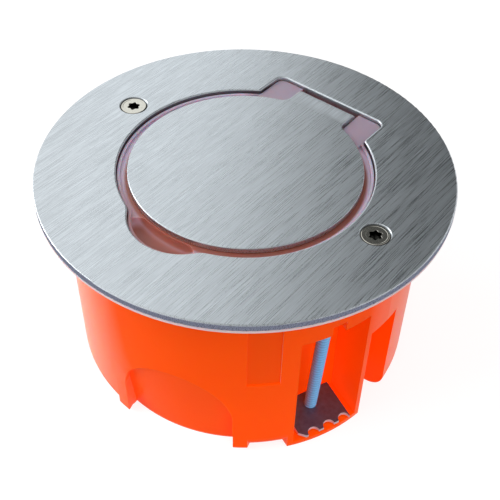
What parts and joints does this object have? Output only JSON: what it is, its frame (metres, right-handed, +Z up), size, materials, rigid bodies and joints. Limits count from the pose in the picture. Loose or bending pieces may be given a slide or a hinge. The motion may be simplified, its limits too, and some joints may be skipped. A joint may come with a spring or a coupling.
{
  "type": "flush floor socket box",
  "caption": "Round flush floor socket box: brushed stainless plate with a hinged lid over a plug socket, on an orange back box with climbing claws.",
  "frame": {"origin": "centre of the box's base, on the surface it stands on", "axes": "+Z up out of the floor; +Y towards the lid's hinge; the cover screws lie on the X axis"},
  "size_m": [0.126, 0.126, 0.07],
  "materials": {
    "brushed_stainless": "straight brushed grain from finger notch to hinge",
    "orange_polypropylene": "moulded, semi-gloss, slightly translucent",
    "lilac_polycarbonate": "moulded, translucent, satin",
    "pale_seal": "soft, matt, slightly translucent",
    "blue_zinc": "blue passivated zinc on a rolled thread",
    "dark_spring_steel": "dark hardened sheet with bright cut edges",
    "screw_steel": "plain stainless, turned",
    "zinc_sheet": "zinc plated pressing",
    "white_urea": "moulded, gloss",
    "grey_nylon": "moulded, matt",
    "nickel_brass": "nickel plated, polished",
    "plain_brass": "stamped sheet"
  },
  "bodies": {
    "root": {"back_box": "orange_polypropylene", "plate_seal": "pale_seal", "cover_plate": "brushed_stainless", "cover_screw_right": "screw_steel", "cover_screw_left": "screw_steel", "lid_frame": "lilac_polycarbonate", "lid_gasket": "pale_seal", "hinge_pin": "screw_steel", "support_frame": "zinc_sheet", "socket_face": "white_urea", "socket_rear": "grey_nylon", "earth_pin": "nickel_brass", "live_contact": "plain_brass", "neutral_contact": "plain_brass", "terminal_screws": "plain_brass"},
    "lid": {"lid": "brushed_stainless"},
    "claw_right": {"claw_right": "dark_spring_steel"},
    "claw_left": {"claw_left": "dark_spring_steel"},
    "claw_screw_right": {"claw_screw_right": "blue_zinc"},
    "claw_screw_left": {"claw_screw_left": "blue_zinc"},
    "shutter": {"socket_shutter": "grey_nylon"}
  },
  "joints": [
    {"name": "lid_hinge", "type": "hinge", "parent": "root", "child": "lid", "pos_m": [0, 0.0401, 0.067], "axis": [-1, 0, 0], "range_deg": [0, 100]},
    {"name": "claw_screw_right_turn", "type": "hinge", "parent": "root", "child": "claw_screw_right", "pos_m": [0.04135, -0.01671, 0.00413], "axis": [-0.0808, 0.0326, -0.9962], "range_deg": [0, 11520]},
    {"name": "claw_screw_left_turn", "type": "hinge", "parent": "root", "child": "claw_screw_left", "pos_m": [-0.04135, 0.01671, 0.00413], "axis": [0.0808, -0.0326, -0.9962], "range_deg": [0, 11520]},
    {"name": "claw_right_climb", "type": "slide", "parent": "root", "child": "claw_right", "axis": [0.0808, -0.0326, 0.9962], "range_m": [0, 0.0416]},
    {"name": "claw_left_climb", "type": "slide", "parent": "root", "child": "claw_left", "axis": [-0.0808, 0.0326, 0.9962], "range_m": [0, 0.0416]},
    {"name": "shutter_slide", "type": "slide", "parent": "root", "child": "shutter", "axis": [0, -1, 0], "range_m": [0, 0.0065], "stiffness_N_per_m": 150, "springref_m": -0.005}
  ],
  "couplings": [
    {"joint": "claw_screw_right_turn", "follows": "claw_right_climb", "rad_per_m": 4833.2},
    {"joint": "claw_screw_left_turn", "follows": "claw_left_climb", "rad_per_m": 4833.2}
  ]
}
